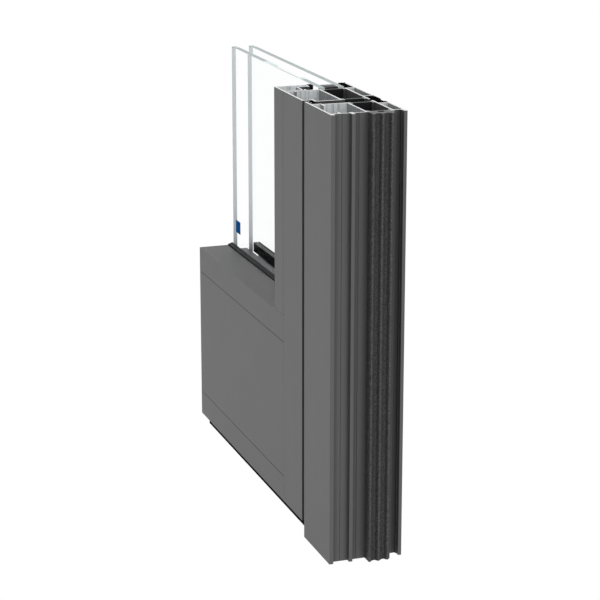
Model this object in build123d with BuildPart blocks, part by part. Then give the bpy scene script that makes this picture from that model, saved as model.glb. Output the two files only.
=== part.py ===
from build123d import *
import os

os.makedirs("parts", exist_ok=True)

# Corner sample of a thermally broken aluminium entrance door: a jamb, and the leaf's stile, rail and glass.
# X runs across the door with the wall on its +X side, Y runs from the room side to the outside, Z is up.
# Sections are drawn with two coordinates: a distance across the member and a depth from the room-side face.

# Overall sizes
FRAME_DEPTH = 75.0
SAMPLE_HEIGHT = 441.5
LEAF_LENGTH = 354.3
FLOOR_GAP = 15.1

# Widths that show on the room side
JAMB_FACE = 74.2
FRONT_GAP = 6.6
STILE_FACE = 56.7
BEAD_FACE = 27.3
PLINTH_FACE = 143.6
FOOT_FACE = 26.9
JOINT = 0.4
FINE_JOINT = 0.25

# Aluminium shells
WALL = 2.0
INNER_DEPTH = 38.0
OUTER_DEPTH = 12.5
REBATE_SET_BACK = 2.0
RIB_DEPTH = 10.0
STEP_BACK = 8.3
NIB_BACK = 3.0

# Wall side of the jamb
LAND_RECESS = 5.0
FRONT_LAND = 4.1
MID_LAND_START = 20.4
MID_LAND = 3.5
MID_RIB_ROOT = 9.0
GUIDE_DEPTH = 0.5
GUIDE_WIDTH = 0.9
FRONT_GUIDE = 12.3
REAR_GUIDE = 29.1
OUTER_RECESS = 7.2
REAR_LIP = 3.3
LIP_STEP = 1.8
LIP_STEP_WIDTH = 0.8
INNER_RIB = 7.0

# Jamb tube
REBATE_FRONT = 60.0
REBATE_REAR = 57.5
STEP_RIB = 12.0

# Thermal strips
STRIP = 2.5
FOOT = 3.9
FOOT_TAPER = 2.0
BOSS = 6.0
BOSS_RISE = 2.5
SEAT = 0.1
WAVE_CREST = 6.9
WAVE_TROUGH = 3.9
WAVE_PITCH = 9.3
WAVE_FLAT = 1.4
WAVE_FALL = 3.4
WAVE_RISE = 1.9
WAVE_TAIL = 2.0
WAVE_ROUND = 0.6
WAVE_BACK = 1.2
WAVE_SKIN = 4.9
CORE_HOLE = 6.0

# Beads, gaskets and glass
BEAD_WALL = 1.8
BEAD_DEPTH = 33.5
BEAD_ARM = 19.5
BEAD_LEG = 11.0
CLIP_START = 22.0
CLIP_REACH = 4.5
PANE = 6.2
PANE_INSET = 3.7
GLASS_COVER = 21.8
GLASS_BACK = 9.6
SPACER = 16.5
SPACER_ROUND = 2.0
BEAD_GASKET = 5.7
GASKET_NOSE = 1.1
GASKET_RISE = 2.8
OUTER_GASKET = 10.6
OUTER_GASKET_RISE = 0.6
OUTER_GASKET_OFF = 1.9
OUTER_GASKET_PLAY = 0.4
GASKET_NOTCH = 1.8
NOTCH_WIDTH = 1.6
GASKET_ROUND = 0.8
FLANGE_DROP = 2.7
CONTACT = 0.2

# Groove covers and stop gasket
LEAF_TIP = 12.8
LEAF_GROOVE = 18.0
LEAF_COVER_TIP = 14.0
LEAF_COVER_INSET = 4.0
JAMB_TIP = 61.5
JAMB_GROOVE = 14.5
COVER_SINK = 0.5
COVER_STEP = 1.9
HOOK = 1.2
HOOK_LIP = 1.4
HOOK_TOP = 4.4
HOOK_SPAN = 9.4
STOP_GAP = 0.4
STOP_ROUND = 1.6
SEAL_FRONT = 9.0
SEAL_WIDTH = 5.0
SEAL_TIP = 3.0
SEAL_CLEAR = 1.0

# Hinge
HINGE_X = -64.0
BARREL_R = 9.0
BARREL_STAND = 9.5
PIN_R = 3.95
PIN_PLAY = 0.05
KNUCKLE = 45.0
KNUCKLE_GAP = 1.0
HINGE_LOW = 176.0
PLATE = 4.5
PLATE_ROUND = 5.0
LEAF_PLATE = 38.0
FRAME_PLATE = 34.0
PIN_HEAD = 3.0
PIN_HEAD_EDGE = 0.8

# Glazing block
BLOCK_LENGTH = 100.0
BLOCK_FROM_END = 60.0

# Places that follow from the sizes
MID_LAND_CENTRE = MID_LAND_START + MID_LAND / 2
FRONT = -MID_LAND_CENTRE
JAMB_EDGE = -JAMB_FACE
LEAF_EDGE = JAMB_EDGE - FRONT_GAP
STILE_JOINT = LEAF_EDGE - STILE_FACE
SIGHT_X = STILE_JOINT - BEAD_FACE
RAIL_END = LEAF_EDGE - LEAF_LENGTH
SIGHT_Z = FLOOR_GAP + FOOT_FACE + JOINT + PLINTH_FACE + JOINT + BEAD_FACE
STILE_LENGTH = SAMPLE_HEIGHT - FLOOR_GAP
RAIL_LENGTH = STILE_JOINT - RAIL_END
OUTER_START = FRAME_DEPTH - OUTER_DEPTH
REAR_WALL = FRAME_DEPTH - WALL
REBATE_U = BEAD_FACE + REBATE_SET_BACK
EDGE_U = BEAD_FACE + STILE_FACE
TIP_U = EDGE_U + STEP_BACK
PLINTH_TOP_U = BEAD_FACE + JOINT
PLINTH_FOOT_U = PLINTH_TOP_U + PLINTH_FACE
FOOT_TOP_U = PLINTH_FOOT_U + JOINT
FOOT_END_U = FOOT_TOP_U + FOOT_FACE
PANE_START = BEAD_DEPTH + BEAD_GASKET
GLASS_END = FRAME_DEPTH - GLASS_BACK
PANE_REAR = GLASS_END - PANE
COVER_END = FRAME_DEPTH - COVER_SINK
GASKET_FACE = GLASS_END + OUTER_GASKET_OFF
GASKET_END = REAR_WALL - OUTER_GASKET_PLAY
OUTER_LIFT = OUTER_GASKET_RISE + CONTACT

# Section planes: the jamb from its wall side, the stile and the rail from their sight lines
JAMB = Plane(origin=(0, FRONT, 0), x_dir=(1, 0, 0), z_dir=(0, 0, 1))
STILE = Plane(origin=(SIGHT_X, FRONT, FLOOR_GAP), x_dir=(1, 0, 0), z_dir=(0, 0, 1))
RAIL = Plane(origin=(RAIL_END, FRONT, SIGHT_Z), x_dir=(0, 0, -1), z_dir=(1, 0, 0))


def web(across, depth, mode=Mode.ADD):
    """Straight web of a section between two places across the member and two depths."""
    with Locations(((across[0] + across[1]) / 2, (depth[0] + depth[1]) / 2)):
        Rectangle(across[1] - across[0], depth[1] - depth[0], mode=mode)


def outline(points, mode=Mode.ADD):
    """Closed straight-sided outline of a section."""
    Polygon(*points, align=None, mode=mode)


def strip_outline(centre, play=0.0, mode=Mode.ADD):
    """Thermal strip with a dovetail foot in the inner shell and one in the outer shell."""
    inner = INNER_DEPTH + SEAT - play
    outer = OUTER_START - SEAT + play
    foot = FOOT / 2 + play
    neck = STRIP / 2 + play
    half = [
        (centre + foot, inner),
        (centre + neck, inner + FOOT_TAPER),
        (centre + neck, outer - FOOT_TAPER),
        (centre + foot, outer),
    ]
    outline(half + [(2 * centre - x, d) for x, d in reversed(half)], mode)


def inner_boss(start):
    """Boss behind the inner shell that holds a thermal strip's foot."""
    web((start, start + BOSS), (INNER_DEPTH - WALL, INNER_DEPTH + BOSS_RISE))


def outer_boss(start):
    """Boss in front of the outer shell that holds a thermal strip's foot."""
    web((start, start + BOSS), (OUTER_START - BOSS_RISE, OUTER_START + WALL))


def drill_guide(depth):
    """Fine V-groove in the wall side that centres a drill for the frame fixings."""
    half = GUIDE_WIDTH / 2
    floor = -LAND_RECESS
    outline([(floor, depth - half), (floor, depth + half), (floor - GUIDE_DEPTH, depth)], Mode.SUBTRACT)


def keep(builder, name):
    """Labels a finished piece and writes it."""
    builder.part.label = name
    export_step(builder.part, f"parts/{name}.step")


# Jamb
JAMB_STRIP_BOSS = -REBATE_REAR
JAMB_STRIP = JAMB_STRIP_BOSS + BOSS / 2
WAVE_BOSS = -LAND_RECESS - BOSS
WAVE_FOOT = WAVE_BOSS + BOSS / 2

with BuildPart() as jamb_inner_shell:
    with BuildSketch(JAMB):
        web((-JAMB_FACE, 0), (0, WALL))
        web((-LAND_RECESS, 0), (0, FRONT_LAND))
        web((-LAND_RECESS - WALL, -LAND_RECESS), (0, INNER_DEPTH))
        drill_guide(FRONT_GUIDE)
        drill_guide(REAR_GUIDE)
        web((-MID_RIB_ROOT, 0), (MID_LAND_START, MID_LAND_START + MID_LAND))
        web((-LAND_RECESS - WALL - INNER_RIB, -LAND_RECESS), (RIB_DEPTH, RIB_DEPTH + WALL))
        web((-REBATE_FRONT, WALL - REBATE_FRONT), (0, RIB_DEPTH + WALL))
        web((-REBATE_FRONT, STEP_RIB - REBATE_FRONT), (RIB_DEPTH, RIB_DEPTH + WALL))
        web((-REBATE_REAR, WALL - REBATE_REAR), (RIB_DEPTH, INNER_DEPTH))
        web((-REBATE_REAR, -LAND_RECESS), (INNER_DEPTH - WALL, INNER_DEPTH))
        inner_boss(JAMB_STRIP_BOSS)
        inner_boss(WAVE_BOSS)
        strip_outline(JAMB_STRIP, SEAT, Mode.SUBTRACT)
        strip_outline(WAVE_FOOT, SEAT, Mode.SUBTRACT)
        web((JAMB_EDGE, JAMB_EDGE + HOOK), (0, HOOK_TOP))
        web((JAMB_EDGE, JAMB_EDGE + HOOK + HOOK_LIP), (HOOK_TOP - HOOK, HOOK_TOP))
        web((JAMB_EDGE + HOOK_SPAN - HOOK, JAMB_EDGE + HOOK_SPAN), (0, HOOK_TOP))
        web((JAMB_EDGE + HOOK_SPAN - HOOK - HOOK_LIP, JAMB_EDGE + HOOK_SPAN), (HOOK_TOP - HOOK, HOOK_TOP))
    extrude(amount=SAMPLE_HEIGHT)
keep(jamb_inner_shell, "jamb_inner_shell")

LIP_START = FRAME_DEPTH - REAR_LIP
with BuildPart() as jamb_outer_shell:
    with BuildSketch(JAMB):
        web((-JAMB_TIP, -OUTER_RECESS), (OUTER_START, OUTER_START + WALL))
        web((-JAMB_TIP + JAMB_GROOVE, -JAMB_TIP + JAMB_GROOVE + WALL), (OUTER_START, FRAME_DEPTH))
        web((-JAMB_TIP + JAMB_GROOVE, 0), (REAR_WALL, FRAME_DEPTH))
        web((-OUTER_RECESS - WALL, -OUTER_RECESS), (OUTER_START, FRAME_DEPTH))
        web((-OUTER_RECESS, 0), (LIP_START, FRAME_DEPTH))
        web((-OUTER_RECESS, LIP_STEP - OUTER_RECESS), (LIP_START - LIP_STEP_WIDTH, FRAME_DEPTH))
        outer_boss(JAMB_STRIP_BOSS)
        outer_boss(WAVE_BOSS)
        strip_outline(JAMB_STRIP, SEAT, Mode.SUBTRACT)
        strip_outline(WAVE_FOOT, SEAT, Mode.SUBTRACT)
    extrude(amount=SAMPLE_HEIGHT)
keep(jamb_outer_shell, "jamb_outer_shell")

with BuildPart() as jamb_rebate_strip:
    with BuildSketch(JAMB):
        strip_outline(JAMB_STRIP)
    extrude(amount=SAMPLE_HEIGHT)
keep(jamb_rebate_strip, "jamb_rebate_strip")

# The strip on the wall side: a waved block over its two dovetail feet, with one hole along its core
WAVE_START = INNER_DEPTH + JOINT
WAVE_END = OUTER_START - WAVE_BACK
WAVE_BASE = CONTACT - LAND_RECESS
FULL_WAVES = int((WAVE_END - WAVE_START - WAVE_FLAT - WAVE_TAIL) // WAVE_PITCH)
CORE_MIDDLE = (INNER_DEPTH + OUTER_START) / 2
CORE_START = INNER_DEPTH + BOSS_RISE + JOINT
CORE_END = OUTER_START - BOSS_RISE - JOINT
with BuildPart() as jamb_wall_strip:
    with BuildSketch(JAMB):
        with BuildLine():
            skin = [(WAVE_BASE, WAVE_START)]
            for wave in range(FULL_WAVES):
                rise = WAVE_START + wave * WAVE_PITCH
                skin.append((WAVE_CREST, rise))
                skin.append((WAVE_CREST, rise + WAVE_FLAT))
                skin.append((WAVE_TROUGH, rise + WAVE_FLAT + WAVE_FALL))
                skin.append((WAVE_TROUGH, rise + WAVE_PITCH - WAVE_RISE))
            last = WAVE_START + FULL_WAVES * WAVE_PITCH
            skin.append((WAVE_CREST, last))
            skin.append((WAVE_CREST, last + WAVE_FLAT))
            skin.append((WAVE_TROUGH, WAVE_END))
            skin.append((WAVE_BASE, WAVE_END))
            FilletPolyline(*skin, radius=WAVE_ROUND)
            Line(skin[-1], skin[0])
        make_face()
        strip_outline(WAVE_FOOT)
        web((WAVE_FOOT, WAVE_BASE), (CORE_START, CORE_END))
        web(
            (WAVE_FOOT + STRIP / 2, WAVE_TROUGH - WAVE_SKIN),
            (CORE_MIDDLE - CORE_HOLE / 2, CORE_MIDDLE + CORE_HOLE / 2),
            Mode.SUBTRACT,
        )
    extrude(amount=SAMPLE_HEIGHT)
keep(jamb_wall_strip, "jamb_wall_strip")

GASKET_FOOT = HOOK_TOP - HOOK - WALL - SEAT
GASKET_LEFT = LEAF_EDGE + STOP_GAP
GASKET_RIGHT = -REBATE_FRONT - JOINT
GASKET_BACK = RIB_DEPTH - STOP_GAP
with BuildPart() as jamb_stop_gasket:
    with BuildSketch(JAMB):
        web((JAMB_EDGE + HOOK + SEAT, JAMB_EDGE + HOOK_SPAN - HOOK - SEAT), (WALL + SEAT, WALL + GASKET_FOOT))
        neck_left = JAMB_EDGE + HOOK + HOOK_LIP + SEAT
        neck_right = JAMB_EDGE + HOOK_SPAN - HOOK - HOOK_LIP - SEAT
        web((neck_left, neck_right), (WALL + SEAT, GASKET_BACK))
        with Locations(((GASKET_LEFT + GASKET_RIGHT) / 2, (HOOK_TOP + SEAT + GASKET_BACK) / 2)):
            RectangleRounded(GASKET_RIGHT - GASKET_LEFT, GASKET_BACK - HOOK_TOP - SEAT, STOP_ROUND)
    extrude(amount=SAMPLE_HEIGHT)
keep(jamb_stop_gasket, "jamb_stop_gasket")

with BuildPart() as jamb_groove_cover:
    with BuildSketch(JAMB):
        cover_right = -JAMB_TIP + JAMB_GROOVE - CONTACT
        web((-JAMB_TIP, cover_right), (OUTER_START + WALL + CONTACT, COVER_END - COVER_STEP))
        web((-JAMB_TIP + JAMB_GROOVE / 2, cover_right), (COVER_END - COVER_STEP, COVER_END))
    extrude(amount=SAMPLE_HEIGHT)
keep(jamb_groove_cover, "jamb_groove_cover")

# Stile
STILE_STRIP = REBATE_U + BOSS / 2
EDGE_STRIP = TIP_U - BOSS / 2
GLAZED_FROM = SIGHT_Z - FLOOR_GAP
with BuildPart() as stile_inner_shell:
    with BuildSketch(STILE):
        web((BEAD_FACE + FINE_JOINT, EDGE_U), (0, WALL))
        web((EDGE_U - WALL, EDGE_U), (0, RIB_DEPTH + WALL))
        web((EDGE_U - 2 * WALL, TIP_U), (RIB_DEPTH, RIB_DEPTH + WALL))
        web((TIP_U - WALL, TIP_U), (RIB_DEPTH, INNER_DEPTH))
        web((REBATE_U, TIP_U), (INNER_DEPTH - WALL, INNER_DEPTH))
        web((REBATE_U, REBATE_U + WALL), (0, INNER_DEPTH))
        web((REBATE_U, REBATE_U + WALL + NIB_BACK), (RIB_DEPTH, RIB_DEPTH + WALL))
        inner_boss(REBATE_U)
        inner_boss(TIP_U - BOSS)
        strip_outline(STILE_STRIP, SEAT, Mode.SUBTRACT)
        strip_outline(EDGE_STRIP, SEAT, Mode.SUBTRACT)
    extrude(amount=STILE_LENGTH)
    with BuildSketch(STILE.offset(GLAZED_FROM)):
        web((REBATE_U - CLIP_REACH, REBATE_U), (CLIP_START, CLIP_START + WALL))
    extrude(amount=STILE_LENGTH - GLAZED_FROM)
keep(stile_inner_shell, "stile_inner_shell")

LEAF_TIP_U = EDGE_U + LEAF_TIP
GROOVE_U = LEAF_TIP_U - LEAF_GROOVE
FLANGE_FROM = GLAZED_FROM + OUTER_LIFT
with BuildPart() as stile_outer_shell:
    with BuildSketch(STILE):
        web((REBATE_U, LEAF_TIP_U), (OUTER_START, OUTER_START + WALL))
        web((REBATE_U, REBATE_U + WALL), (OUTER_START, FRAME_DEPTH))
        web((REBATE_U, GROOVE_U), (REAR_WALL, FRAME_DEPTH))
        web((GROOVE_U - WALL, GROOVE_U), (OUTER_START, FRAME_DEPTH))
        outer_boss(REBATE_U)
        outer_boss(TIP_U - BOSS)
        strip_outline(STILE_STRIP, SEAT, Mode.SUBTRACT)
        strip_outline(EDGE_STRIP, SEAT, Mode.SUBTRACT)
    extrude(amount=STILE_LENGTH)
    with BuildSketch(STILE.offset(FLANGE_FROM)):
        web((FLANGE_DROP, REBATE_U), (REAR_WALL, FRAME_DEPTH))
    extrude(amount=STILE_LENGTH - FLANGE_FROM)
keep(stile_outer_shell, "stile_outer_shell")

for strip_name, strip_centre in (("stile_glass_strip", STILE_STRIP), ("stile_edge_strip", EDGE_STRIP)):
    with BuildPart() as stile_strip:
        with BuildSketch(STILE):
            strip_outline(strip_centre)
        extrude(amount=STILE_LENGTH)
    keep(stile_strip, strip_name)

with BuildPart() as stile_groove_cover:
    with BuildSketch(STILE):
        web((GROOVE_U + LEAF_COVER_INSET, EDGE_U + LEAF_COVER_TIP), (OUTER_START + WALL + CONTACT, COVER_END))
    extrude(amount=STILE_LENGTH)
keep(stile_groove_cover, "stile_groove_cover")

# Bottom rail
RAIL_STRIP = REBATE_U + BOSS / 2
FOOT_STRIP = PLINTH_FOOT_U - BOSS / 2
MID_WEB = (REBATE_U + PLINTH_FOOT_U) / 2
OUTER_RAIL_LENGTH = RAIL_LENGTH + REBATE_SET_BACK - FINE_JOINT
with BuildPart() as rail_inner_shell:
    with BuildSketch(RAIL):
        web((PLINTH_TOP_U, PLINTH_FOOT_U), (0, WALL))
        web((REBATE_U, REBATE_U + WALL), (0, INNER_DEPTH))
        web((PLINTH_FOOT_U - WALL, PLINTH_FOOT_U), (0, INNER_DEPTH))
        web((MID_WEB - WALL / 2, MID_WEB + WALL / 2), (0, INNER_DEPTH))
        web((REBATE_U, PLINTH_FOOT_U), (INNER_DEPTH - WALL, INNER_DEPTH))
        web((REBATE_U - CLIP_REACH, REBATE_U), (CLIP_START, CLIP_START + WALL))
        inner_boss(REBATE_U)
        inner_boss(PLINTH_FOOT_U - BOSS)
        strip_outline(RAIL_STRIP, SEAT, Mode.SUBTRACT)
        strip_outline(FOOT_STRIP, SEAT, Mode.SUBTRACT)
    extrude(amount=RAIL_LENGTH)
keep(rail_inner_shell, "rail_inner_shell")

with BuildPart() as rail_foot_profile:
    with BuildSketch(RAIL):
        web((FOOT_TOP_U, FOOT_END_U), (0, INNER_DEPTH))
        web((FOOT_TOP_U + WALL, FOOT_END_U - WALL), (WALL, INNER_DEPTH - WALL), Mode.SUBTRACT)
    extrude(amount=RAIL_LENGTH)
keep(rail_foot_profile, "rail_foot_profile")

with BuildPart() as rail_outer_shell:
    with BuildSketch(RAIL):
        web((REBATE_U, FOOT_END_U), (OUTER_START, FRAME_DEPTH))
        web((REBATE_U + WALL, MID_WEB - WALL / 2), (OUTER_START + WALL, REAR_WALL), Mode.SUBTRACT)
        web((MID_WEB + WALL / 2, FOOT_END_U - WALL), (OUTER_START + WALL, REAR_WALL), Mode.SUBTRACT)
        web((FLANGE_DROP, REBATE_U), (REAR_WALL, FRAME_DEPTH))
        outer_boss(REBATE_U)
        outer_boss(PLINTH_FOOT_U - BOSS)
        strip_outline(RAIL_STRIP, SEAT, Mode.SUBTRACT)
        strip_outline(FOOT_STRIP, SEAT, Mode.SUBTRACT)
    extrude(amount=OUTER_RAIL_LENGTH)
keep(rail_outer_shell, "rail_outer_shell")

for strip_name, strip_centre in (("rail_glass_strip", RAIL_STRIP), ("rail_foot_strip", FOOT_STRIP)):
    with BuildPart() as rail_strip:
        with BuildSketch(RAIL):
            strip_outline(strip_centre)
        extrude(amount=RAIL_LENGTH)
    keep(rail_strip, strip_name)

SEAL_LENGTH = LEAF_EDGE - RAIL_END
with BuildPart() as bottom_seal:
    with BuildSketch(RAIL):
        seal_tip_u = SIGHT_Z - SEAL_CLEAR
        outline(
            [
                (FOOT_END_U, SEAL_FRONT),
                (seal_tip_u, SEAL_FRONT),
                (seal_tip_u, SEAL_FRONT + SEAL_TIP),
                (FOOT_END_U, SEAL_FRONT + SEAL_WIDTH),
            ]
        )
    extrude(amount=SEAL_LENGTH)
keep(bottom_seal, "bottom_seal")

# Beads, gaskets and spacers along the stile and the rail
GASKET_START = BEAD_DEPTH + CONTACT
GASKET_SEAT = PANE_START - CONTACT
SPACER_START = GLASS_COVER - SPACER
GASKET_LIFT = GASKET_RISE + CONTACT
GASKET_TOE = (GASKET_START + GASKET_SEAT) / 2
STILE_ABOVE = STILE_LENGTH - GLAZED_FROM
SIDES = {
    "stile": {
        "bead": (STILE.offset(GLAZED_FROM + FINE_JOINT), STILE_ABOVE - FINE_JOINT),
        "bead_gasket": (STILE.offset(GLAZED_FROM + GASKET_LIFT), STILE_ABOVE - GASKET_LIFT),
        "outer_gasket": (STILE.offset(GLAZED_FROM + OUTER_LIFT), STILE_ABOVE - OUTER_LIFT),
        "spacer": (STILE.offset(GLAZED_FROM - SPACER_START), STILE_ABOVE + SPACER_START),
    },
    "rail": {
        "bead": (RAIL, RAIL_LENGTH),
        "bead_gasket": (RAIL, RAIL_LENGTH),
        "outer_gasket": (RAIL, OUTER_RAIL_LENGTH),
        "spacer": (RAIL, GLASS_COVER + SIGHT_X - RAIL_END),
    },
}
for side, runs in SIDES.items():
    plane, length = runs["bead"]
    with BuildPart() as bead:
        with BuildSketch(plane):
            web((0, BEAD_FACE), (0, BEAD_ARM + BEAD_WALL))
            web((0, BEAD_LEG), (0, BEAD_DEPTH))
            web((BEAD_WALL, BEAD_FACE - BEAD_WALL), (WALL, BEAD_ARM), Mode.SUBTRACT)
            web((BEAD_WALL, BEAD_LEG - BEAD_WALL), (WALL, BEAD_DEPTH - BEAD_WALL), Mode.SUBTRACT)
        extrude(amount=length)
    keep(bead, f"{side}_bead")

    plane, length = runs["bead_gasket"]
    with BuildPart() as bead_gasket:
        with BuildSketch(plane):
            outline(
                [
                    (-GASKET_NOSE, GASKET_START),
                    (-GASKET_RISE, GASKET_SEAT),
                    (BEAD_LEG / 2, GASKET_SEAT),
                    (BEAD_LEG - BEAD_WALL, GASKET_TOE),
                    (BEAD_LEG - BEAD_WALL, GASKET_START),
                ]
            )
        extrude(amount=length)
    keep(bead_gasket, f"{side}_bead_gasket")

    plane, length = runs["outer_gasket"]
    with BuildPart() as outer_gasket:
        with BuildSketch(plane) as gasket_section:
            web((-OUTER_GASKET_RISE, OUTER_GASKET), (GASKET_FACE, GASKET_END))
            fillet(gasket_section.vertices().group_by(Axis.Y)[0], radius=GASKET_ROUND)
            web((-OUTER_GASKET_RISE, FLANGE_DROP - CONTACT), (GASKET_END, FRAME_DEPTH - OUTER_GASKET_PLAY))
            outline(
                [
                    (-OUTER_GASKET_RISE, GASKET_END - NOTCH_WIDTH / 2),
                    (-OUTER_GASKET_RISE, GASKET_END + NOTCH_WIDTH / 2),
                    (GASKET_NOTCH - OUTER_GASKET_RISE, GASKET_END),
                ],
                Mode.SUBTRACT,
            )
        extrude(amount=length)
    keep(outer_gasket, f"{side}_outer_gasket")

    plane, length = runs["spacer"]
    with BuildPart() as spacer:
        with BuildSketch(plane) as spacer_section:
            web((SPACER_START, GLASS_COVER), (PANE_START + PANE, PANE_REAR))
            fillet(spacer_section.vertices().group_by(Axis.X)[0], radius=SPACER_ROUND)
        extrude(amount=length)
    keep(spacer, f"{side}_spacer")

# Glass
GLASS_EDGE = SIGHT_X + GLASS_COVER
for pane_name, pane_start in (("front_pane", PANE_START), ("rear_pane", PANE_REAR)):
    with BuildPart() as pane:
        with BuildSketch(RAIL.offset(PANE_INSET)):
            web((SIGHT_Z - SAMPLE_HEIGHT, GLASS_COVER), (pane_start, pane_start + PANE))
        extrude(amount=GLASS_EDGE - RAIL_END - PANE_INSET)
    keep(pane, pane_name)

with BuildPart() as glazing_block:
    with BuildSketch(RAIL.offset(BLOCK_FROM_END)):
        web((GLASS_COVER, REBATE_U), (PANE_START, GLASS_END))
    extrude(amount=BLOCK_LENGTH)
keep(glazing_block, "glazing_block")

# Barrel hinge on the outside face
BARREL_Y = FRONT + FRAME_DEPTH + BARREL_STAND
KNUCKLE_MID = HINGE_LOW + KNUCKLE + KNUCKLE_GAP
HINGE_HALVES = (("hinge_frame_half", HINGE_LOW, FRAME_PLATE), ("hinge_leaf_half", KNUCKLE_MID, -LEAF_PLATE))
for half_name, base, reach in HINGE_HALVES:
    outer_end = -1 if reach > 0 else 0
    with BuildPart() as hinge_half:
        with BuildSketch(Plane.XY.offset(base)):
            with Locations((HINGE_X, BARREL_Y)):
                Circle(BARREL_R)
        extrude(amount=KNUCKLE)
        with BuildSketch(Plane.XZ.offset(-FRONT - FRAME_DEPTH)) as plate_face:
            with Locations((HINGE_X + reach / 2, base + KNUCKLE / 2)):
                Rectangle(abs(reach), KNUCKLE)
            fillet(plate_face.vertices().group_by(Axis.X)[outer_end], radius=PLATE_ROUND)
        extrude(amount=-PLATE)
        with BuildSketch(Plane.XY.offset(base)):
            with Locations((HINGE_X, BARREL_Y)):
                Circle(PIN_R + PIN_PLAY)
        extrude(amount=KNUCKLE, mode=Mode.SUBTRACT)
    keep(hinge_half, half_name)

with BuildPart() as hinge_pin:
    with BuildSketch(Plane.XY.offset(HINGE_LOW)):
        with Locations((HINGE_X, BARREL_Y)):
            Circle(PIN_R)
    extrude(amount=2 * KNUCKLE + KNUCKLE_GAP)
    with BuildSketch(Plane.XY.offset(HINGE_LOW - PIN_HEAD)):
        with Locations((HINGE_X, BARREL_Y)):
            Circle(BARREL_R)
    extrude(amount=PIN_HEAD)
    chamfer(hinge_pin.edges().group_by(Axis.Z)[0], PIN_HEAD_EDGE)
keep(hinge_pin, "hinge_pin")
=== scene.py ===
"""Finishes, small pieces and studio for a cut corner sample of an aluminium entrance door.

The file is laid out as an add-on and is run as a script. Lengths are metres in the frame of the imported
model: X runs across the door, Y from the room side to the outside, Z up.
"""
import math

import bmesh
import bpy
import numpy as np
from bpy.props import FloatProperty, FloatVectorProperty, PointerProperty
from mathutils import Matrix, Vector


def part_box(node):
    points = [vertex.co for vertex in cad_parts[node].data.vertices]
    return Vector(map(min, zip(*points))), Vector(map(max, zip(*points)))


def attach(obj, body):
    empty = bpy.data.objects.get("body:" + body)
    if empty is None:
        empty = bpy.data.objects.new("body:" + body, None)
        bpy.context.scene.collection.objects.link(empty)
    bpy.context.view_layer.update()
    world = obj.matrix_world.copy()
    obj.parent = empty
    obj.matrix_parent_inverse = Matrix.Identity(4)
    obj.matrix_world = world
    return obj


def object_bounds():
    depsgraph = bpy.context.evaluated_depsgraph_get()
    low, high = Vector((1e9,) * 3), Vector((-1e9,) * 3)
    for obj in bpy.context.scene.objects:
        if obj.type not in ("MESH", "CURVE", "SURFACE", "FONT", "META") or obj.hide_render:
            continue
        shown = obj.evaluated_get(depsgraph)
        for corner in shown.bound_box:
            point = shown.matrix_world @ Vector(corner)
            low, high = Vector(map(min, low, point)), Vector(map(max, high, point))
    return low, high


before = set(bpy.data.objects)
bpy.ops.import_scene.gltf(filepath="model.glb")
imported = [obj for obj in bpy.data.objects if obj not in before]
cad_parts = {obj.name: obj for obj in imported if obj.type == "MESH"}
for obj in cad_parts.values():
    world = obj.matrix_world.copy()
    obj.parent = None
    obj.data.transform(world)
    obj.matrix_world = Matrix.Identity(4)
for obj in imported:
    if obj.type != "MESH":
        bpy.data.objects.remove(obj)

bl_info = {
    "name": "Entrance Door Corner Sample",
    "version": (1, 0, 0),
    "blender": (4, 5, 0),
    "location": "View3D > Sidebar > Door",
    "description": "Finishes, small pieces and studio for a cut corner sample of an entrance door",
    "category": "Object",
}

MM = 0.001
CAD_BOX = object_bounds()
ROOM_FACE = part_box("jamb_inner_shell")[0].y
PANE_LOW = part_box("front_pane")[0]
# Strength at which the camera sees the dome and the floor as plain white
SEEN_WHITE = 1.008
FLOOR_REACH = 12.0
FLOOR_DROP = 0.5 * MM

# Distance within which a mesh's points are merged
MERGE_REACH = 0.0001 * MM

SCREW_SIDES = 48
# Places of the screws in shares of their plate's height
SCREW_HEIGHTS = (0.25, 0.75)
# Body that carries each half of the hinge, and X of its screws
HINGE_SCREWS = {
    "hinge_frame_half": ("jamb", -43 * MM),
    "hinge_leaf_half": ("leaf", -87 * MM),
}

LABEL_POINTS = 64
LABEL_SQUARENESS = 24
LABEL_FILM = 0.15 * MM
LABEL_GAP = 0.05 * MM

# Stretches of the front pane's top in X, the bright one paler with painted light on either side of the
# polished one, the polished corner of both panes from their cut edge, and the width of the ground line that
# stays along their front
BRIGHT_TOP = (-321 * MM, -197 * MM)
POLISHED_TOP = (-283 * MM, -208 * MM)
POLISHED_CORNER = (2 * MM, 8 * MM)
ARRIS = 1.5 * MM
SPACER_BAR_DEPTH = 7.5 * MM

# The waved strip's waves along Y, the height in X of its smooth flank, and the bands of painted highlight
# on a wave's shoulder and painted shade at its foot as (middle, reach) in shares of the pitch, full over
# the core's share of the reach
WAVE_START = ROOM_FACE + 38.4 * MM
WAVE_PITCH = 9.3 * MM
FLANK_TOP = 3 * MM
SHOULDER_BAND = (0.07, 0.17)
VALLEY_BAND = (0.87, 0.10)
BAND_CORE = 0.4

# Widths of the finer patterns
COAT_PATCH = 35 * MM
SAW_MARK = 0.4 * MM
RUBBER_PORE = 0.5 * MM
SHEEN_LINE = 1.6 * MM
GROUND_MARK = 3.5 * MM
BRUSH_MARK = 1.2 * MM
TURNED_RING = 0.6 * MM
FILM_MOTTLE = 2 * MM

# Heights of the finer patterns
COAT_RELIEF = 0.03 * MM
SAND_RELIEF = 0.15 * MM
PORE_RELIEF = 0.04 * MM
BRUSH_RELIEF = 0.02 * MM
RING_RELIEF = 0.01 * MM

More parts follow.
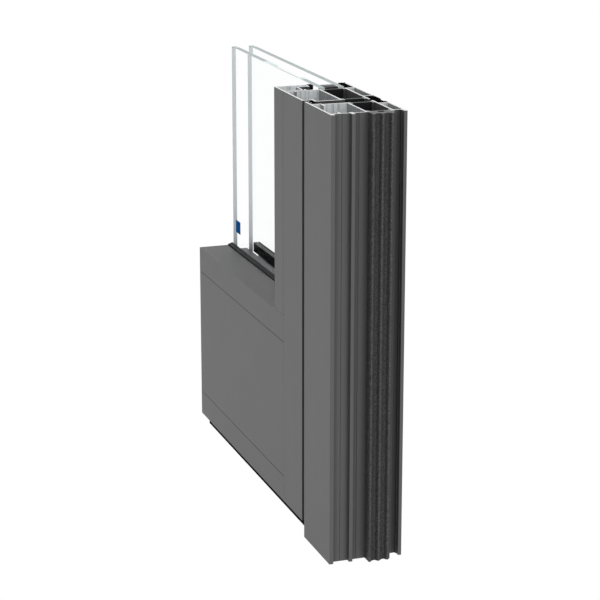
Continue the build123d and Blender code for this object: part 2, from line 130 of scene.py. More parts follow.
# Hollows whose walls stay uncoated, as (across from, across to, depth from, depth to) in millimetres.
# Across is X on the upright members and Z on the rail, and depth is measured from the room-side face.
HOLLOWS = {
    "jamb": (
        (-58.3, -6.7, 1.7, 10.3),
        (-55.8, -6.7, 9.7, 36.3),
        (-45.3, -8.9, 64.2, 73.3),
    ),
    "stile": (
        (-133.8, -82.5, 1.7, 10.3),
        (-133.8, -74.2, 11.7, 36.3),
        (-133.8, -87.7, 64.2, 73.3),
        (-163.2, -139.1, 1.8, 19.7),
        (-163.2, -155.4, 1.8, 31.9),
    ),
    "rail": (
        (44.1, 182.7, 1.7, 36.3),
        (16.8, 40.3, 1.7, 36.3),
        (16.8, 182.7, 64.2, 73.3),
        (188.0, 212.1, 1.8, 19.7),
        (204.3, 212.1, 1.8, 31.9),
    ),
}

# Painted shade in corners, flanks and gaps that little light reaches and along the joint lines between
# profiles, as (across from, across to, depth from, depth to, share from, share to). Inside the rectangle
# the coat keeps a share of its colour, which runs evenly from the first share to the second over the depth.
SHADES = {
    "jamb": (
        (-5.6, -4.4, 5.8, 10.8, 0.60, 1.0),
        (-5.6, -4.4, 17.6, 20.3, 1.0, 0.64),
        (-4.9, -0.1, 20.3, 20.5, 0.68, 0.68),
        (-5.6, -4.4, 25.0, 29.6, 0.54, 1.0),
        (-5.6, -4.4, 32.8, 38.5, 1.0, 0.52),
        (-7.8, -6.6, 64.2, 66.9, 0.72, 0.72),
        (-7.8, -6.6, 66.9, 72.5, 0.46, 0.34),
        (-7.0, -5.0, 70.7, 71.2, 0.45, 0.45),
        (-6.5, -0.1, 71.2, 72.9, 0.74, 0.74),
    ),
    "stile": (
        (-82.0, -79.0, 0.4, 12.2, 0.62, 0.62),
        (-139.2, -136.2, -0.3, 0.3, 0.84, 0.84),
    ),
    "rail": (
        (185.2, 186.8, -0.3, 0.4, 0.74, 0.74),
        (41.6, 43.2, -0.3, 0.4, 0.74, 0.74),
    ),
}

COATED = {
    "jamb": ("jamb_inner_shell", "jamb_outer_shell"),
    "stile": ("stile_inner_shell", "stile_outer_shell", "stile_bead"),
    "rail": ("rail_inner_shell", "rail_foot_profile", "rail_outer_shell", "rail_bead"),
}
WAVED_STRIP = "jamb_wall_strip"
STRIPS = {
    "upright": ("jamb_rebate_strip", "stile_glass_strip", "stile_edge_strip"),
    "rail": ("rail_glass_strip", "rail_foot_strip"),
}
RUBBERS = {
    "upright": (
        "jamb_stop_gasket",
        "jamb_groove_cover",
        "stile_bead_gasket",
        "stile_outer_gasket",
        "stile_groove_cover",
    ),
    "rail": ("rail_bead_gasket", "bottom_seal", "glazing_block"),
    "sill": ("rail_outer_gasket",),
}
# How much painted sheen each group's faces that look up carry
TOP_SHEEN = {"upright": 0.0, "rail": 1.0, "sill": 2.5}
SPACERS = ("stile_spacer", "rail_spacer")
PANES = ("front_pane", "rear_pane")

# Broad lobes of the studio's dome: azimuth from +X towards +Y and elevation in degrees, sharpness, strength
DOME = (
    (0, 90, 2, 1.2),
    (-45, 10, 3, 0.447),
    (45, 10, 3, 0.784),
    (180, 10, 3, 1.044),
)


def colour_property(name, description, default):
    """Linear colour with three channels."""
    return FloatVectorProperty(
        name=name, description=description, default=default, subtype="COLOR", size=3, min=0, max=1
    )


def length_property(name, description, default):
    """Length in metres."""
    return FloatProperty(
        name=name, description=description, default=default, subtype="DISTANCE", unit="LENGTH"
    )


def share_property(name, description, default):
    """Share from 0 to 1."""
    return FloatProperty(
        name=name, description=description, default=default, subtype="FACTOR", min=0, max=1
    )


class DoorCoat(bpy.types.PropertyGroup):
    """Powder coat outside and bare metal inside the profiles"""

    colour: colour_property("Coat", "Colour of the powder coat", (0.105, 0.105, 0.105))
    roughness: share_property("Coat roughness", "Roughness of the powder coat", 0.52)
    grain: length_property("Coat grain", "Width of the powder coat's grain", 0.0006)
    cut: colour_property("Sawn metal", "Colour of the sawn ends", (0.90, 0.90, 0.90))
    cut_roughness: share_property("Sawn roughness", "Roughness of the sawn ends", 0.38)
    hollow: colour_property("Mill finish", "Colour of the uncoated hollows", (0.945, 0.985, 1.0))
    # hollow_rear is painted shade: a hollow's walls square to Y keep only this share of the mill colour
    hollow_rear: share_property("Mill shade", "Share of its colour that a rear wall keeps", 0.3)
    hollow_roughness: share_property("Mill roughness", "Roughness of the uncoated hollows", 0.34)
    # hollow_glow is painted light: the uncoated hollows glow faintly with their mill colour
    hollow_glow: share_property("Mill glow", "Light that bounces on in the uncoated hollows", 0.06)
    streak: length_property("Die streak", "Width of the streaks left by the extrusion die", 0.0022)


class DoorStrip(bpy.types.PropertyGroup):
    """Glass-fibre polyamide strips between the shells"""

    dark: colour_property("Waved strip dark", "Darker fleck of the waved strip", (0.017, 0.017, 0.0175))
    light: colour_property("Waved strip light", "Lighter fleck of the waved strip", (0.078, 0.078, 0.079))
    # shoulder is a painted highlight on a wave's shoulder; valley and flank are painted shade at a wave's
    # foot and on the smooth flank
    shoulder: FloatProperty(
        name="Waved strip shoulder", description="How much paler a wave's shoulder is", default=1.55
    )
    valley: share_property("Waved strip valley", "Share of its colour that a wave's foot keeps", 0.74)
    flank: share_property("Waved strip flank", "Share of its colour that the smooth flank keeps", 0.98)
    plain: colour_property("Plain strip", "Colour of the inner strips", (0.012, 0.012, 0.0125))
    cut: colour_property("Strip cut", "Fibre colour on the sawn ends", (0.30, 0.31, 0.31))
    grain: length_property("Strip grain", "Width of the sandy flecks", 0.0012)


class DoorRubber(bpy.types.PropertyGroup):
    """Black gaskets, seals and groove covers"""

    colour: colour_property("Rubber", "Colour of the gaskets", (0.011, 0.011, 0.0113))
    # face is painted light: the upright gaskets' faces to the room or outside are paler than their other
    # faces
    face: colour_property("Rubber face", "Colour of the faces to the room or outside", (0.03, 0.03, 0.0305))
    cut: colour_property("Rubber cut", "Colour of the sawn ends", (0.004, 0.004, 0.0042))
    # The rail gaskets' paler colour on faces that look up is painted sheen
    sheen: colour_property("Rubber dust", "Colour of the rail gaskets' dust", (0.072, 0.072, 0.074))
    roughness: share_property("Rubber roughness", "Roughness of the gaskets", 0.55)
    bloom: length_property("Rubber bloom", "Width of the matt patches", 0.004)


class DoorGlass(bpy.types.PropertyGroup):
    """Panes, spacer bars and the plain label"""

    tint: colour_property("Glass tint", "Colour of the ground upper edges", (0.524, 0.587, 0.583))
    # bright is painted light on the front pane's top, on either side of its polished stretch
    bright: colour_property("Glass bright", "Colour of the paler stretch on top", (0.80, 0.90, 0.90))
    end: colour_property("Glass ends", "Colour of the sawn ends, seen through the pane", (0.92, 0.98, 1.0))
    clear: colour_property("Glass body", "Light that one pane lets through", (0.989, 0.991, 0.991))
    bend: FloatProperty(name="Glass bend", description="Index of refraction of the panes", default=1.033)
    spacer: colour_property("Spacer", "Colour of the spacer bars", (0.104, 0.109, 0.117))
    sealant: colour_property("Sealant", "Colour of the edge sealant", (0.012, 0.012, 0.012))
    label: colour_property("Label", "Colour of the plain label", (0.010, 0.098, 0.315))
    label_width: length_property("Label width", "Width of the plain label", 0.0166)
    label_height: length_property("Label height", "Height of the plain label", 0.0143)
    label_inset: length_property("Label inset", "Distance of the label from the cut edge", 0.0105)
    label_foot: length_property("Label foot", "Height of the label's lower edge", 0.2319)


class DoorHinge(bpy.types.PropertyGroup):
    """Barrel hinge on the outside face"""

    steel: colour_property("Steel", "Colour of the pin and the screws", (0.62, 0.62, 0.61))
    screw_radius: length_property("Screw radius", "Radius of the screw heads", 0.0042)
    plate: length_property("Plate", "Thickness of the hinge's plates", 0.0045)
    screw_rise: length_property("Screw rise", "Height of the screw heads over the plate", 0.0011)


class DoorStage(bpy.types.PropertyGroup):
    """Camera, lights and floor"""

    camera: FloatVectorProperty(
        name="Camera", description="Place of the camera", size=3, subtype="TRANSLATION", unit="LENGTH",
        default=(1.693854, -0.64029, 0.773839),
    )
    yaw: FloatProperty(
        name="Yaw", description="Turn of the view from -X towards +Y", subtype="ANGLE",
        default=math.radians(19.144),
    )
    pitch: FloatProperty(
        name="Pitch", description="Downward tilt of the view", subtype="ANGLE",
        default=math.radians(15.709),
    )
    lens: FloatProperty(
        name="Lens", description="Focal length on a 36 mm sensor", unit="CAMERA", default=120.25
    )
    floor: colour_property("Floor", "Colour of the floor", (0.2, 0.2, 0.2))
    floor_light: FloatProperty(
        name="Floor light", description="Light that the floor gives the sample", default=0.79
    )


SETTINGS = {
    "door_coat": DoorCoat,
    "door_strip": DoorStrip,
    "door_rubber": DoorRubber,
    "door_glass": DoorGlass,
    "door_hinge": DoorHinge,
    "door_stage": DoorStage,
}


def rgba(colour):
    """Colour with full alpha."""
    return (*colour, 1.0)


def around(colour, share):
    """Darker and paler colour, a share below and above the given one."""
    return rgba([c * (1 - share) for c in colour]), rgba([c * (1 + share) for c in colour])


class Graph:
    """Node tree of a new material or world, with short calls for the nodes that are used here."""

    def __init__(self, name, store="materials", shader="Principled BSDF"):
        self.made = getattr(bpy.data, store).new(name)
        self.made.use_nodes = True
        self.tree = self.made.node_tree
        self.shader = self.tree.nodes[shader]
        where = self.tree.nodes.new("ShaderNodeTexCoord")
        self.place = where.outputs["Object"]
        self.normal = where.outputs["Normal"]
        self.sight = where.outputs["Generated"]

    def add(self, kind, inputs, output=0, **settings):
        """Adds a node, sets or links its inputs and gives one of its outputs."""
        made = self.tree.nodes.new(kind)
        for key, value in settings.items():
            setattr(made, key, value)
        for key, value in inputs.items():
            self.join(value, made.inputs[key])
        return made.outputs[output]

    def join(self, value, socket):
        """Links an output to a socket, or sets the socket's own value."""
        if isinstance(value, bpy.types.NodeSocket):
            self.tree.links.new(value, socket)
        else:
            socket.default_value = value

    def math(self, operation, first, second=0.0, third=0.0):
        """One step of arithmetic."""
        return self.add("ShaderNodeMath", {0: first, 1: second, 2: third}, operation=operation)

    def mixed(self, main, other):
        """Most of one noise with some of another."""
        return self.math("ADD", self.math("MULTIPLY", main, 0.7), self.math("MULTIPLY", other, 0.3))

    def blend(self, factor, first, second):
        """Number between two numbers."""
        return self.add("ShaderNodeMix", {0: factor, 2: first, 3: second}, data_type="FLOAT")

    def tint(self, factor, first, second):
        """Colour between two colours."""
        return self.add("ShaderNodeMix", {0: factor, 6: first, 7: second}, output=2, data_type="RGBA")

    def scale(self, colour, share):
        """Colour times a number."""
        return self.add("ShaderNodeVectorMath", {0: colour, "Scale": share}, operation="SCALE")

    def noise(self, width, stretch=(1, 1, 1), detail=2.0):
        """Noise whose patches are about this wide, longer along axes with a small stretch."""
        at = self.add("ShaderNodeMapping", {"Vector": self.place, "Scale": stretch})
        return self.add("ShaderNodeTexNoise", {"Vector": at, "Scale": 1 / width, "Detail": detail})

    def ramp(self, value, low, high, to_low=0.0, to_high=1.0):
        """Maps a range of a number to another range, held at its ends."""
        return self.add(
            "ShaderNodeMapRange", {"Value": value, 1: low, 2: high, 3: to_low, 4: to_high}, clamp=True
        )

    def axes(self, vector):
        """The three parts of a vector."""
        made = self.tree.nodes.new("ShaderNodeSeparateXYZ")
        self.tree.links.new(vector, made.inputs[0])
        return made.outputs

    def bump(self, height, depth, strength=1.0):
        """Normal of a surface raised by height times depth."""
        return self.add("ShaderNodeBump", {"Height": height, "Distance": depth, "Strength": strength})

    def finish(self, **sockets):
        """Sets the shader's sockets, named with underscores for spaces."""
        for key, value in sockets.items():
            self.join(value, self.shader.inputs[key.replace("_", " ")])
        return self.made

    def seen(self):
        """1 on rays from the camera, straight or through the panes, and 0 on rays that carry light."""
        rays = self.tree.nodes.new("ShaderNodeLightPath").outputs
        bounced = self.math("ADD", rays["Diffuse Depth"], rays["Glossy Depth"])
        through = self.math("MULTIPLY", rays["Is Transmission Ray"], self.math("LESS_THAN", bounced, 0.5))
        return self.math("MAXIMUM", rays["Is Camera Ray"], through)


def facing(graph, axis):
    """1 on faces square to an axis, which on an extruded piece are its sawn ends, and 0 elsewhere."""
    part = graph.math("ABSOLUTE", graph.axes(graph.normal)[axis])
    return graph.math("GREATER_THAN", part, 0.7)


def between(graph, value, low, high):
    """1 where a number lies between two others, and 0 elsewhere."""
    return graph.math("COMPARE", value, (low + high) / 2, (high - low) / 2)


def in_section(graph, across, across_low, across_high, depth_low, depth_high):
    """1 inside a rectangle of the section, given in millimetres, and 0 elsewhere."""
    parts = graph.axes(graph.place)
    return graph.math(
        "MULTIPLY",
        between(graph, parts[across], across_low * MM, across_high * MM),
        between(graph, parts[1], ROOM_FACE + depth_low * MM, ROOM_FACE + depth_high * MM),
    )


def hollow_mask(graph, across, hollows):
    """1 inside any of the hollows' rectangles of the section, and 0 elsewhere."""
    total = 0.0
    for hollow in hollows:
        total = graph.math("MAXIMUM", total, in_section(graph, across, *hollow))
    return total


def corner_shade(graph, across, shades):
    """Share of its colour that the coat keeps, 1 outside the shaded corners."""
    depth = graph.axes(graph.place)[1]
    total = 1.0
    for *rectangle, share_low, share_high in shades:
        low, high = (ROOM_FACE + edge * MM for edge in rectangle[2:])
        share = graph.ramp(depth, low, high, share_low, share_high)
        inside = in_section(graph, across, *rectangle)
        total = graph.math("MULTIPLY", total, graph.blend(inside, 1.0, share))
    return total


def coated_profile(name, run, hollows, shades, coat):
    """Grey powder coat outside, streaked mill finish in the hollows and sawn metal on the ends.

    run is the axis that the profile was extruded along, 0 for X and 2 for Z, or None on a piece that is
    coated all over.
    """
    graph = Graph(name)
    across = 2 if run == 0 else 0
    long_way = tuple(0.012 if axis == run else 1.0 for axis in range(3))
    sawn = 0.0 if run is None else facing(graph, run)
    bare = hollow_mask(graph, across, hollows)

    grain = graph.noise(coat.grain, detail=3)
    patches = graph.noise(COAT_PATCH, detail=1)
    coat_colour = graph.tint(graph.ramp(graph.mixed(grain, patches), 0.3, 0.7), *around(coat.colour, 0.07))
    wide_streak = graph.noise(coat.streak, long_way, detail=1)
    fine_streak = graph.noise(coat.streak / 4, long_way, detail=1)
    streaks = graph.ramp(graph.mixed(wide_streak, fine_streak), 0.33, 0.52)
    mill_colour = graph.tint(streaks, rgba([c * 0.6 for c in coat.hollow]), rgba(coat.hollow))
    # Painted shade on the hollows' walls square to Y
    rear_shade = graph.blend(facing(graph, 1), 1.0, coat.hollow_rear)
    mill_colour = graph.scale(mill_colour, rear_shade)
    # Painted shade in the corners, gaps and joint lines listed in SHADES
    coat_colour = graph.scale(coat_colour, corner_shade(graph, across, shades))
    saw_way = tuple(0.05 if axis == across else 1.0 for axis in range(3))
    saw_marks = graph.noise(SAW_MARK, saw_way, detail=1)
    saw_colour = graph.tint(saw_marks, rgba([c * 0.9 for c in coat.cut]), rgba(coat.cut))

    colour = graph.tint(bare, coat_colour, mill_colour)
    colour = graph.tint(sawn, colour, saw_colour)
    # Painted light: the uncoated hollow walls, though not the sawn ends, glow faintly with their mill
    # colour
    glow = graph.scale(mill_colour, graph.math("MULTIPLY", bare, graph.math("SUBTRACT", 1.0, sawn)))
    mill_rough = graph.ramp(
        streaks, 0, 1, coat.hollow_roughness - 0.06, coat.hollow_roughness + 0.08
    )
    coat_rough = graph.ramp(grain, 0.3, 0.7, coat.roughness - 0.05, coat.roughness + 0.06)
    rough = graph.blend(sawn, graph.blend(bare, coat_rough, mill_rough), coat.cut_roughness)
    height = graph.blend(sawn, graph.blend(bare, grain, streaks), saw_marks)
    return graph.finish(
        Base_Color=colour,
        Metallic=sawn,
        Emission_Color=glow,
        Emission_Strength=coat.hollow_glow,
        Roughness=rough,
        Normal=graph.bump(height, COAT_RELIEF, 0.5),
    )


def wave_shade(graph, strip):
    """Share of its colour that the waved strip keeps under painted highlights on the waves' shoulders and
    painted shade at their feet and on the smooth flank, from the place along a wave.

    A wave's place runs from 0 to 1 over one pitch. Each band is full about its middle and falls to
    nothing at its reach.
    """
    parts = graph.axes(graph.place)
    start = graph.math("SUBTRACT", parts[1], WAVE_START)
    along = graph.math("FRACT", graph.math("DIVIDE", start, WAVE_PITCH))
    total = 1.0
    for (middle, reach), share in ((SHOULDER_BAND, strip.shoulder), (VALLEY_BAND, strip.valley)):
        away = graph.math("ABSOLUTE", graph.math("SUBTRACT", along, middle))
        band = graph.ramp(away, reach * BAND_CORE, reach, 1.0, 0.0)
        total = graph.math("MULTIPLY", total, graph.blend(band, 1.0, share))
    smooth = graph.math("LESS_THAN", parts[0], FLANK_TOP)
    return graph.blend(smooth, total, strip.flank)


def fibre_polyamide(name, run, waved, strip):
    """Dark polyamide, sandy with painted highlights on the shoulders and painted shade at the feet of the
    waved strip's waves, and speckled where it is sawn.
    """
    graph = Graph(name)
    sawn = facing(graph, run)
    sand = graph.ramp(graph.noise(strip.grain, detail=3), 0.34, 0.68)
    flecks = graph.ramp(graph.noise(strip.grain * 0.4, detail=2), 0.4, 0.66)
    if waved:
        skin = graph.tint(sand, rgba(strip.dark), rgba(strip.light))
        # Painted highlights on the shoulders and painted shade at the feet of the waves and on the flank
        skin = graph.scale(skin, wave_shade(graph, strip))
    else:
        skin = graph.tint(sand, *around(strip.plain, 0.15))
    ends = graph.tint(flecks, rgba([c * 0.35 for c in strip.cut]), rgba(strip.cut))
    return graph.finish(
        Base_Color=graph.tint(sawn, skin, ends),
        Roughness=graph.ramp(sand, 0, 1, 0.62, 0.78),
        Specular_IOR_Level=0.35,
        Normal=graph.bump(sand, SAND_RELIEF, 0.6),
    )


def black_rubber(name, share, rubber):
    """Extruded black rubber with a faint matt bloom and fine pores, and a painted sheen on faces that look
    up.
    """
    graph = Graph(name)
    bloom = graph.noise(rubber.bloom, detail=3)
    pores = graph.noise(RUBBER_PORE, detail=2)
    if share:
        # Painted sheen: faces that look up turn paler in fine lines along X, by the group's share
        colour = rgba(rubber.colour)
        lines = graph.noise(SHEEN_LINE, (0.02, 1, 1), detail=1)
        lines = graph.ramp(lines, 0.3, 0.7, 0.7 * share, 1.3 * share)
        sheen = graph.scale(rubber.sheen, lines)
        colour = graph.tint(graph.ramp(graph.axes(graph.normal)[2], 0.2, 0.7), colour, sheen)
        sawn = facing(graph, 0)
    else:
        # Painted light: faces to the room or outside are paler, as lit faces
        colour = graph.tint(facing(graph, 1), rgba(rubber.colour), rgba(rubber.face))
        sawn = facing(graph, 2)
    colour = graph.tint(sawn, colour, rgba(rubber.cut))
    colour = graph.scale(colour, graph.ramp(bloom, 0.3, 0.7, 0.85, 1.15))
    return graph.finish(
        Base_Color=colour,
        Roughness=graph.ramp(bloom, 0.3, 0.7, rubber.roughness - 0.08, rubber.roughness + 0.12),
        Specular_IOR_Level=0.0,
        Normal=graph.bump(pores, PORE_RELIEF, 0.5),
    )


def clear_glass(name, front, polished_and_lit, glass):
    """Pane that is clear through its faces and grey-green at its ground edges.

    Behind the ground line along its front, the top is polished clear at its cut corner. When asked for, a
    longer stretch of the top is polished too, with painted light that makes the top paler at its ends.
    """
    graph = Graph(name)
    face = facing(graph, 1)
    ground = graph.noise(GROUND_MARK, (1, 0.05, 1), detail=2)
    worn = graph.ramp(ground, 0.3, 0.7, 0.9, 1.1)
    parts = graph.axes(graph.place)
    bright, polished = 0.0, 0.0
    if polished_and_lit:
        polished = between(graph, parts[0], *POLISHED_TOP)
        # Painted light: the top is paler on either side of the polished stretch
        bright = graph.math("SUBTRACT", between(graph, parts[0], *BRIGHT_TOP), polished)
    corner = between(graph, parts[0], *(PANE_LOW.x + reach for reach in POLISHED_CORNER))
    behind_arris = graph.math("GREATER_THAN", parts[1], front + ARRIS)
    polished = graph.math("MULTIPLY", graph.math("MAXIMUM", polished, corner), behind_arris)
    polished = graph.math("MULTIPLY", polished, facing(graph, 2))
    edge = graph.tint(bright, rgba(glass.tint), rgba(glass.bright))
    colour = graph.tint(facing(graph, 0), graph.scale(edge, worn), rgba(glass.end))
    clear = graph.math("MAXIMUM", face, polished)
    return graph.finish(
        Base_Color=graph.tint(clear, colour, rgba(glass.clear)),
        Roughness=graph.blend(clear, 0.35, 0.0),
        IOR=glass.bend,
        Transmission_Weight=clear,
    )


def spacer_bar(name, across, sight, glass):
    """Grey brushed bar on the sight side, with black sealant behind it towards the pane's edge."""
    graph = Graph(name)
    parts = graph.axes(graph.place)
    depth_in = graph.math("ABSOLUTE", graph.math("SUBTRACT", parts[across], sight))
    sealed = graph.math("GREATER_THAN", depth_in, SPACER_BAR_DEPTH)
    brush_way = tuple(1.0 if axis == across else 0.05 for axis in range(3))
    brushed = graph.noise(BRUSH_MARK, brush_way, detail=1)
    bar = graph.tint(brushed, *around(glass.spacer, 0.12))
    return graph.finish(
        Base_Color=graph.tint(sealed, bar, rgba(glass.sealant)),
        Roughness=graph.blend(sealed, graph.ramp(brushed, 0, 1, 0.4, 0.55), 0.6),
        Metallic=0.0,
        Normal=graph.bump(brushed, BRUSH_RELIEF, 0.4),
    )


def brushed_steel(name, hinge):
    """Turned steel with fine rings of wear."""
    graph = Graph(name)
    rings = graph.noise(TURNED_RING, (1, 1, 0.2), detail=2)
    return graph.finish(
        Base_Color=graph.tint(rings, rgba([c * 0.85 for c in hinge.steel]), rgba(hinge.steel)),
        Metallic=1.0,
        Roughness=graph.ramp(rings, 0.3, 0.7, 0.24, 0.36),
        Normal=graph.bump(rings, RING_RELIEF, 0.4),
    )


def plain_film(name, glass):
    """Blank blue label film with a soft satin mottle."""
    graph = Graph(name)
    mottle = graph.noise(FILM_MOTTLE, detail=2)
    return graph.finish(
        Base_Color=graph.tint(mottle, *around(glass.label, 0.15)),
        Roughness=graph.ramp(mottle, 0.3, 0.7, 0.4, 0.5),
        Specular_IOR_Level=0.0,
    )


def dress(names, material):
    """Gives CAD nodes one material."""
    for name in names:
        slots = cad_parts[name].data.materials
        slots.clear()
        slots.append(material)


def surface(name, grid, material, closed=(False, False)):
    """Mesh of a grid of points, an array of rows x columns x 3, joined round an axis that is closed.

    Points that fall together, as at a pole, are merged.
    """
    rows, columns = grid.shape[:2]
    index = np.arange(rows * columns).reshape(rows, columns)
    down = np.concatenate([index, index[:1]]) if closed[0] else index
    wide = np.concatenate([down, down[:, :1]], axis=1) if closed[1] else down
    faces = np.stack([wide[:-1, :-1], wide[:-1, 1:], wide[1:, 1:], wide[1:, :-1]], axis=-1).reshape(-1, 4)
    mesh = bpy.data.meshes.new(name)
    mesh.from_pydata(grid.reshape(-1, 3).tolist(), [], faces.tolist())
    mesh.materials.append(material)
    shape = bmesh.new()
    shape.from_mesh(mesh)
    bmesh.ops.remove_doubles(shape, verts=shape.verts, dist=MERGE_REACH)
    shape.to_mesh(mesh)
    shape.free()
    made = bpy.data.objects.new(name, mesh)
    bpy.context.scene.collection.objects.link(made)
    return made


class DOOR_OT_profiles(bpy.types.Operator):
    """Coat the aluminium profiles and bare their hollows and sawn ends"""

    bl_idname = "door.profiles"
    bl_label = "Coated Profiles"

    def execute(self, context):
        coat = context.scene.door_coat
        for member, names in COATED.items():
            run = 0 if member == "rail" else 2
            dress(names, coated_profile(f"coated_{member}", run, HOLLOWS[member], SHADES[member], coat))
        return {"FINISHED"}


class DOOR_OT_strips(bpy.types.Operator):
    """Give the thermal strips their fibre polyamide"""

    bl_idname = "door.strips"
    bl_label = "Thermal Strips"

    def execute(self, context):
        strip = context.scene.door_strip
        for member, names in STRIPS.items():
            run = 0 if member == "rail" else 2
            dress(names, fibre_polyamide(f"polyamide_{member}", run, False, strip))
        dress([WAVED_STRIP], fibre_polyamide("polyamide_waved", 2, True, strip))
        return {"FINISHED"}


class DOOR_OT_rubbers(bpy.types.Operator):
    """Give the gaskets, seals and groove covers their rubber"""

    bl_idname = "door.rubbers"
    bl_label = "Gaskets and Seals"

    def execute(self, context):
        for member, names in RUBBERS.items():
            dress(names, black_rubber(f"rubber_{member}", TOP_SHEEN[member], context.scene.door_rubber))
        return {"FINISHED"}


class DOOR_OT_glazing(bpy.types.Operator):
    """Finish the panes and the spacer bars"""

    bl_idname = "door.glazing"
    bl_label = "Glazing"

    def execute(self, context):
        glass = context.scene.door_glass
        for name in PANES:
            dress([name], clear_glass(f"{name}_glass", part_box(name)[0].y, name == "front_pane", glass))
        for name in SPACERS:
            across = 2 if name == "rail_spacer" else 0
            low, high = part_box(name)
            sight = high.z if across == 2 else low.x
            dress([name], spacer_bar(f"{name}_bar", across, sight, glass))
        return {"FINISHED"}


class DOOR_OT_label(bpy.types.Operator):
    """Lay a plain label on the room side of the front pane"""

    bl_idname = "door.label"
    bl_label = "Plain Label"

    def execute(self, context):
        glass = context.scene.door_glass
        material = plain_film("label_film", glass)
        label = surface("plain_label", label_grid(glass), material, closed=(False, True))
        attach(label, "leaf")
        return {"FINISHED"}


def label_grid(glass):
    """Thin closed film just off the pane.

    Each row is the label's outline scaled about its middle by a share that runs from 0 to 1 on the pane's
    side and back to 0 on the room side. The outline is a superellipse, the cosine and sine of the angle
    raised to the power of 2 over the squareness with their signs kept, times half the width and half the
    height.
    """
    angle = np.linspace(0, 2 * np.pi, LABEL_POINTS, endpoint=False)
    round_way = np.stack([np.cos(angle), np.sin(angle)])
    square_way = np.sign(round_way) * np.abs(round_way) ** (2 / LABEL_SQUARENESS)
    share = np.array([0, 0.5, 1, 1, 0.98, 0.5, 0])[:, None]
    rise = np.array([0, 0, 0, 0.8, 1, 1, 1])[:, None]
    x = PANE_LOW.x + glass.label_inset + glass.label_width / 2 * (1 + share * square_way[0])
    z = glass.label_foot + glass.label_height / 2 * (1 + share * square_way[1])
    y = PANE_LOW.y - LABEL_GAP - LABEL_FILM * rise + np.zeros_like(x)
    return np.stack([x, y, z], axis=-1)


def screw_grid(hinge, x, y, z):
    """Raised screw head with a hexagon socket, turned about an axis along Y.

    Each row is a ring. Its radius runs from the socket's hexagon, the half width divided by the cosine of
    the angle to the nearest flat, to the round rim. Its height is a shallow dome over the plate, or the
    socket's floor inside the hexagon, and the last rings close the head on the plate.
    """
    angle = np.linspace(0, 2 * np.pi, SCREW_SIDES, endpoint=False)
    flat = np.mod(angle, np.pi / 3) - np.pi / 6
    socket = hinge.screw_radius * 0.42 / np.cos(flat)
    way = np.array([0, 0, 0, 0.25, 0.5, 0.75, 0.92, 1, 1, 0])
    ring = socket + (hinge.screw_radius - socket) * way[:, None]
    ring[[0, -1]] = 0
    share = ring / hinge.screw_radius
    dome = hinge.screw_rise * np.sqrt(1 - 0.8 * share ** 2)
    sunk = np.array([1, 1, 0, 0, 0, 0, 0, 0, 0, 0])[:, None]
    height = np.where(sunk, hinge.screw_rise * 0.15, dome)
    height[-2:] = 0
    return np.stack([x + ring * np.cos(angle), y + height, z + ring * np.sin(angle)], axis=-1)


class DOOR_OT_hinge(bpy.types.Operator):
    """Finish the hinge and set its screws"""

    bl_idname = "door.hinge"
    bl_label = "Hinge"

    def execute(self, context):
        hinge = context.scene.door_hinge
        steel = brushed_steel("hinge_steel", hinge)
        dress(("hinge_pin",), steel)
        coat = context.scene.door_coat
        dress(HINGE_SCREWS, coated_profile("coated_hinge", None, (), (), coat))
        for name, (body, middle) in HINGE_SCREWS.items():
            low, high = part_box(name)
            for number, rise in enumerate(SCREW_HEIGHTS, 1):
                height = low.z + (high.z - low.z) * rise
                grid = screw_grid(hinge, middle, low.y + hinge.plate, height)
                screw = surface(f"{name}_screw_{number}", grid, steel, closed=(False, True))
                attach(screw, body)
        return {"FINISHED"}


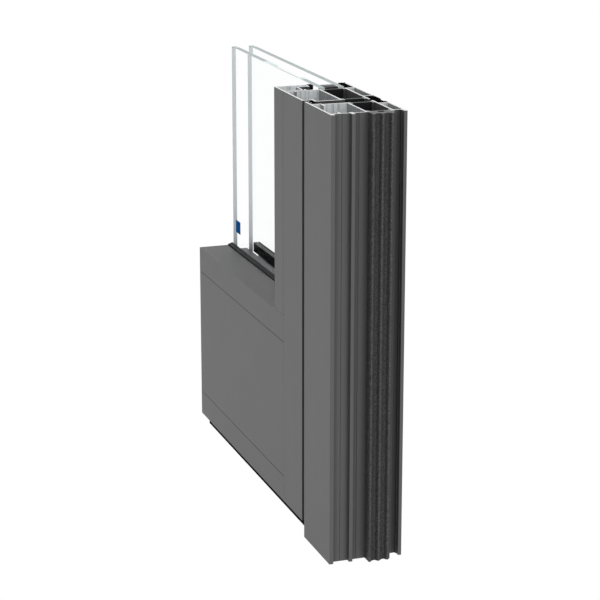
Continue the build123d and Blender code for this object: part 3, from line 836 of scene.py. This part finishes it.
class DOOR_OT_stage(bpy.types.Operator):
    """Set up the camera, the lights and the floor"""

    bl_idname = "door.stage"
    bl_label = "Studio"

    def execute(self, context):
        stage = context.scene.door_stage
        self.camera(context.scene, stage)
        self.sky(context.scene)
        self.ground(stage)
        context.scene.view_settings.view_transform = "Standard"
        return {"FINISHED"}

    def camera(self, scene, stage):
        """Camera that looks along the photograph's direction."""
        data = bpy.data.cameras.new("camera")
        data.lens = stage.lens
        data.sensor_width = 36
        made = bpy.data.objects.new("camera", data)
        flat = math.cos(stage.pitch)
        along = Vector((-math.cos(stage.yaw) * flat, math.sin(stage.yaw) * flat, -math.sin(stage.pitch)))
        made.location = stage.camera
        made.rotation_euler = along.to_track_quat("-Z", "Y").to_euler()
        scene.collection.objects.link(made)
        scene.camera = made

    def sky(self, scene):
        """Soft dome that the camera sees as plain white.

        Its light from a direction is the sum, over the lobes, of the lobe's strength times the cosine of
        the angle to the lobe's middle, never below 0, raised to the lobe's sharpness.
        """
        graph = Graph("sky", "worlds", "Background")
        total = 0.0
        for azimuth, elevation, sharpness, strength in DOME:
            turn, rise = math.radians(azimuth), math.radians(elevation)
            middle = (math.cos(turn) * math.cos(rise), math.sin(turn) * math.cos(rise), math.sin(rise))
            cosine = graph.add(
                "ShaderNodeVectorMath", {0: graph.sight, 1: middle}, "Value", operation="DOT_PRODUCT"
            )
            lobe = graph.math("POWER", graph.math("MAXIMUM", cosine, 0.0), sharpness)
            total = graph.math("MULTIPLY_ADD", lobe, strength, total)
        strength = graph.blend(graph.seen(), total, SEEN_WHITE)
        scene.world = graph.finish(Color=(1, 1, 1, 1), Strength=strength)

    def ground(self, stage):
        """Wide pale floor just under the sample: X and Y run evenly over the two parameters."""
        graph = Graph("pale_floor")
        seen = graph.seen()
        material = graph.finish(
            Base_Color=graph.tint(seen, rgba(stage.floor), (0, 0, 0, 1)),
            Roughness=0.9,
            Specular_IOR_Level=0.0,
            Emission_Color=(1, 1, 1, 1),
            Emission_Strength=graph.blend(seen, stage.floor_light, SEEN_WHITE),
        )
        steps = np.linspace(-FLOOR_REACH, FLOOR_REACH, 3)
        x, y = np.meshgrid(steps, steps)
        z = np.full_like(x, CAD_BOX[0].z - FLOOR_DROP)
        surface("floor", np.stack([x, y, z], axis=-1), material)


OPERATORS = (
    DOOR_OT_profiles,
    DOOR_OT_strips,
    DOOR_OT_rubbers,
    DOOR_OT_glazing,
    DOOR_OT_label,
    DOOR_OT_hinge,
    DOOR_OT_stage,
)


class DOOR_PT_panel(bpy.types.Panel):
    """Lists the door's operators"""

    bl_idname = "DOOR_PT_panel"
    bl_label = "Entrance Door"
    bl_space_type = "VIEW_3D"
    bl_region_type = "UI"
    bl_category = "Door"

    def draw(self, context):
        for operator in OPERATORS:
            self.layout.operator(operator.bl_idname)


def register():
    for settings in SETTINGS.values():
        bpy.utils.register_class(settings)
    for operator in OPERATORS:
        bpy.utils.register_class(operator)
    bpy.utils.register_class(DOOR_PT_panel)
    for name, settings in SETTINGS.items():
        setattr(bpy.types.Scene, name, PointerProperty(type=settings))


def unregister():
    for name in SETTINGS:
        delattr(bpy.types.Scene, name)
    bpy.utils.unregister_class(DOOR_PT_panel)
    for operator in reversed(OPERATORS):
        bpy.utils.unregister_class(operator)
    for settings in reversed(list(SETTINGS.values())):
        bpy.utils.unregister_class(settings)


def main():
    register()
    for operator in OPERATORS:
        group, name = operator.bl_idname.split(".")
        getattr(getattr(bpy.ops, group), name)()
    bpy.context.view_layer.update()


if __name__ == "__main__":
    main()
